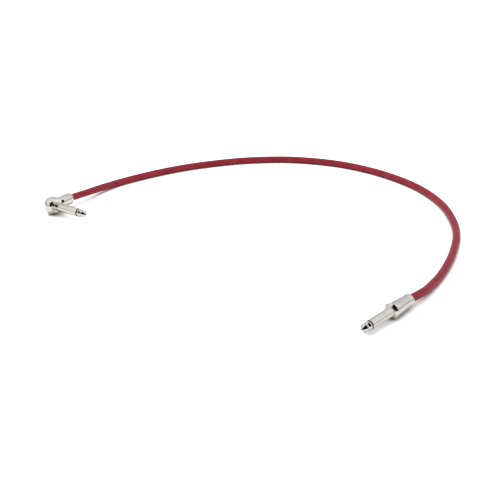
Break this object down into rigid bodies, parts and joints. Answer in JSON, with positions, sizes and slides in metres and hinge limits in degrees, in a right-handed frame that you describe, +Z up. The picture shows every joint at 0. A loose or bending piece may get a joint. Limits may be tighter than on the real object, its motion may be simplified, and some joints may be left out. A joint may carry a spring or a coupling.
{
  "type": "instrument cable",
  "caption": "Short red patch lead for instruments, with a straight quarter-inch plug on one end and a small right-angle plug with a ball-shaped head on the other.",
  "frame": {"origin": "on the surface that the lead lies on, under the middle of the box that holds the two plugs", "axes": "+Z up from that surface; +X from the right-angle plug's side to the straight plug's side; +Y towards the bend of the cable"},
  "size_m": [0.3139, 0.3285, 0.014],
  "materials": {
    "nickel_plate": "polished nickel plate on brass",
    "insulator_black": "turned acetal, satin",
    "insulator_natural": "natural nylon",
    "terminal_brass": "tinned brass, as machined",
    "screw_black": "black-oxide steel",
    "jacket_red": "satin extruded PVC",
    "shield_copper": "bare copper strands",
    "drain_plastic": "conductive plastic",
    "insulation_white": "polyethylene"
  },
  "bodies": {
    "lead": {"straight_tip": "nickel_plate", "straight_tip_ring": "insulator_black", "straight_sleeve": "nickel_plate", "straight_rod_tube": "insulator_natural", "straight_rear_bush": "insulator_black", "straight_terminal": "terminal_brass", "straight_barrel": "nickel_plate", "angle_tip": "nickel_plate", "angle_tip_ring": "insulator_black", "angle_sleeve": "nickel_plate", "angle_rod_tube": "insulator_natural", "angle_cup": "insulator_black", "angle_terminal": "terminal_brass", "angle_head": "nickel_plate", "angle_arm": "nickel_plate", "angle_cap_disc": "insulator_black", "cable_jacket": "jacket_red", "cable_shield": "shield_copper", "cable_drain_layer": "drain_plastic", "cable_insulation": "insulation_white", "cable_core": "shield_copper"},
    "straight_grub": {"straight_grub_screw": "screw_black"},
    "angle_grub": {"angle_grub_screw": "screw_black"},
    "cap": {"angle_cap": "nickel_plate"}
  },
  "joints": [
    {"name": "straight_grub_travel", "type": "slide", "parent": "lead", "child": "straight_grub", "axis": [-0.766, 0.6428, 0], "range_m": [0, 0.0015]},
    {"name": "angle_grub_travel", "type": "slide", "parent": "lead", "child": "angle_grub", "axis": [0.7233, -0.5064, 0.4695], "range_m": [0, 0.0015]},
    {"name": "cap_travel", "type": "slide", "parent": "lead", "child": "cap", "axis": [-0.8192, 0.5736, 0], "range_m": [0, 0.002]}
  ]
}
